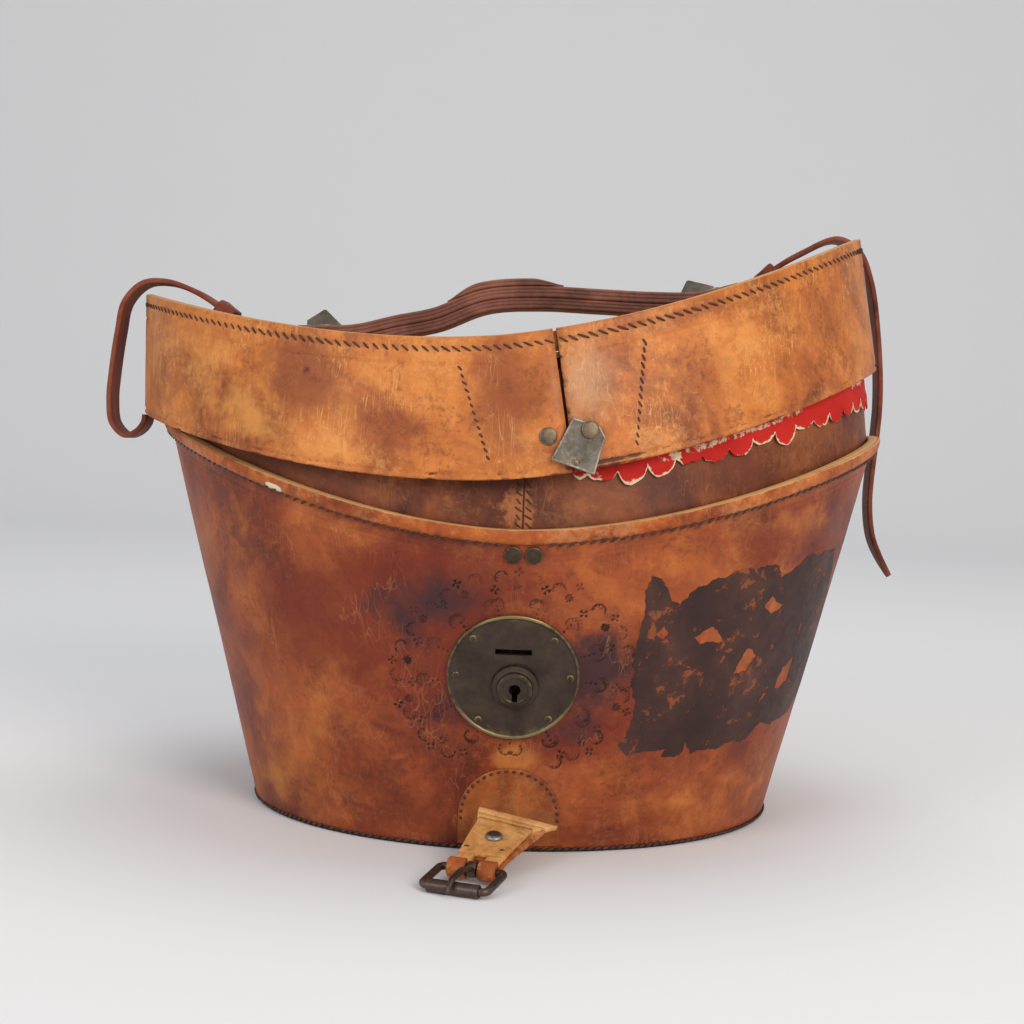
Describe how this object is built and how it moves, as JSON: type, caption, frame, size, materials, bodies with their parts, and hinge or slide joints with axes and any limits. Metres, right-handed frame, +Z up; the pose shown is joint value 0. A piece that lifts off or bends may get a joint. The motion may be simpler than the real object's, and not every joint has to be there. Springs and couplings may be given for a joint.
{
  "type": "top hat box",
  "caption": "Oval leather top hat box with a saddle-shaped rim, collar, red lining, deep lid on a leather hinge, round lock, strap buckle and laminated carrying handle.",
  "frame": {"origin": "on the floor, under the middle of the flat base panel", "axes": "+Z up out of the mouth, -Y out of the front that carries the lock, +X to the right as seen from the front"},
  "size_m": [0.4038, 0.3484, 0.292],
  "materials": {
    "tan_leather": "worn polished saddle leather",
    "edge_leather": "worn raw-edged leather",
    "dark_leather": "dark waxed leather",
    "red_cloth": "matt lining cloth",
    "pasteboard": "pasteboard",
    "brass": "tarnished",
    "steel": "dull, lightly rusted"
  },
  "bodies": {
    "box": {"body_wall": "tan_leather", "base_panel": "tan_leather", "base_strip": "edge_leather", "rim_welt": "tan_leather", "collar": "edge_leather", "wall_board": "pasteboard", "crown_lining": "red_cloth", "lining_turnover": "red_cloth", "lock_plate": "brass", "lock_boss": "brass", "lock_case": "steel", "lock_pin_1": "brass", "lock_pin_2": "brass", "lock_pin_3": "brass", "lock_pin_4": "brass", "lock_pin_5": "brass", "lock_pin_6": "brass", "rim_rivet_left": "brass", "rim_rivet_right": "brass", "chape_patch": "edge_leather", "hinge_leaf_box": "tan_leather"},
    "hinge": {"hinge_fold": "tan_leather"},
    "lid": {"lid_band": "tan_leather", "lid_front_patch": "tan_leather", "lid_top": "tan_leather", "lid_lip": "edge_leather", "lid_lining": "red_cloth", "lid_rivet_left": "brass", "lid_rivet_right": "brass", "handle_lower": "dark_leather", "handle_upper": "dark_leather", "handle_grip": "dark_leather", "handle_rivet_left": "brass", "handle_rivet_right": "brass", "handle_plate_left": "steel", "handle_plate_right": "steel", "strap_left": "dark_leather", "strap_right": "dark_leather", "strap_keeper_left": "dark_leather", "strap_keeper_right": "dark_leather", "strap_rivet_left": "brass", "strap_rivet_right": "brass", "hinge_leaf_lid": "tan_leather"},
    "hasp": {"hasp_plate": "steel"},
    "bolt": {"lock_bolt": "steel"},
    "chape": {"chape_tab": "edge_leather", "chape_rivet": "brass"},
    "buckle": {"buckle_frame": "steel"},
    "tongue": {"buckle_tongue": "steel"},
    "roller": {"buckle_roller": "steel"}
  },
  "joints": [
    {"name": "lid_swing", "type": "hinge", "parent": "box", "child": "hinge", "pos_m": [0, 0.151, 0.146], "axis": [-1, 0, 0], "range_deg": [0, 100]},
    {"name": "lid_seat", "type": "hinge", "parent": "hinge", "child": "lid", "pos_m": [-0.1425, 0.0512, 0.127], "axis": [-0.3384, -0.941, 0], "range_deg": [-5.47, 0]},
    {"name": "hasp_swivel", "type": "hinge", "parent": "lid", "child": "hasp", "pos_m": [0.03104, -0.14664, 0.19187], "axis": [0.1498, -0.9822, 0.1132], "range_deg": [0, 100]},
    {"name": "bolt_slide", "type": "slide", "parent": "box", "child": "bolt", "axis": [1, 0, 0], "range_m": [0, 0.006]},
    {"name": "chape_swing", "type": "hinge", "parent": "box", "child": "chape", "pos_m": [0.00415, -0.12009, 0.019], "axis": [-1, 0, 0], "range_deg": [0, 50]},
    {"name": "buckle_swing", "type": "hinge", "parent": "chape", "child": "buckle", "pos_m": [-0.01158, -0.16331, 0.0058], "axis": [-0.9397, 0.342, 0], "range_deg": [0, 80]},
    {"name": "tongue_swing", "type": "hinge", "parent": "buckle", "child": "tongue", "pos_m": [-0.01158, -0.16331, 0.0058], "axis": [-0.9397, 0.342, 0], "range_deg": [0, 40]},
    {"name": "roller_spin", "type": "hinge", "parent": "buckle", "child": "roller", "pos_m": [-0.0187, -0.18287, 0.003], "axis": [0.9397, -0.342, 0], "continuous": true}
  ]
}
